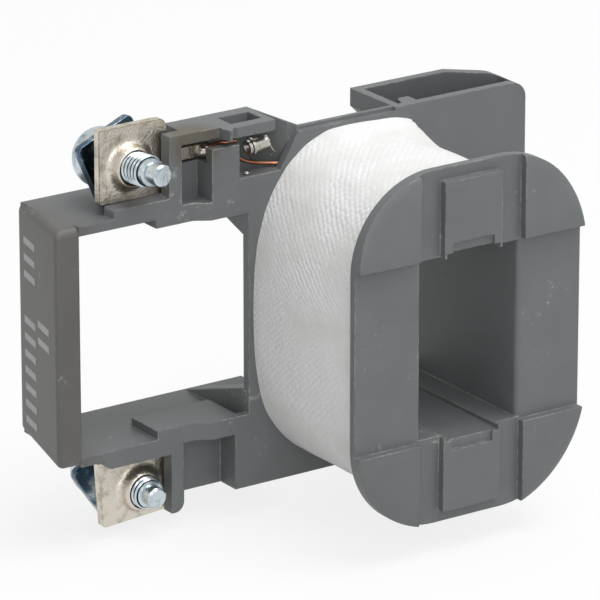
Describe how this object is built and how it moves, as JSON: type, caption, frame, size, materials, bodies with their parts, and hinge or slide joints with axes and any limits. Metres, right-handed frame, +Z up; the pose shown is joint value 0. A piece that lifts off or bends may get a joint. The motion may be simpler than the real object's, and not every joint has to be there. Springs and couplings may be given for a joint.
{
  "type": "contactor coil",
  "caption": "Contactor coil: taped winding on a grey bobbin with a rectangular core opening, and a side frame that carries two screw terminals.",
  "frame": {"origin": "centre of the core opening, in the plane of the front flange's pads", "axes": "+X from the frame's end bar to the bobbin, +Y along the core opening away from the pads, +Z up"},
  "size_m": [0.0712, 0.0398, 0.0547],
  "materials": {
    "grey_moulding": "fine satin moulded grey",
    "winding_copper": "enamelled copper wire",
    "cloth_tape": "white woven tape",
    "nickel_plate": "warm dull nickel",
    "zinc_screw": "bright blue zinc",
    "lead_copper": "bare copper wire",
    "tin": "bright tin and solder"
  },
  "bodies": {
    "root": {"bobbin_frame": "grey_moulding", "copper_winding": "winding_copper", "outer_tape": "cloth_tape", "upper_terminal_plate": "nickel_plate", "lower_terminal_plate": "nickel_plate", "upper_terminal_screw": "zinc_screw", "lower_terminal_screw": "zinc_screw", "upper_spring_washer": "zinc_screw", "lower_spring_washer": "zinc_screw", "upper_clamp_washer": "zinc_screw", "lower_clamp_washer": "zinc_screw", "start_lead": "lead_copper", "finish_lead": "lead_copper", "upper_solder_joint": "tin", "lower_solder_joint": "tin", "lead_splice": "tin", "splice_tail": "tin", "solder_bead": "tin"}
  },
  "joints": []
}
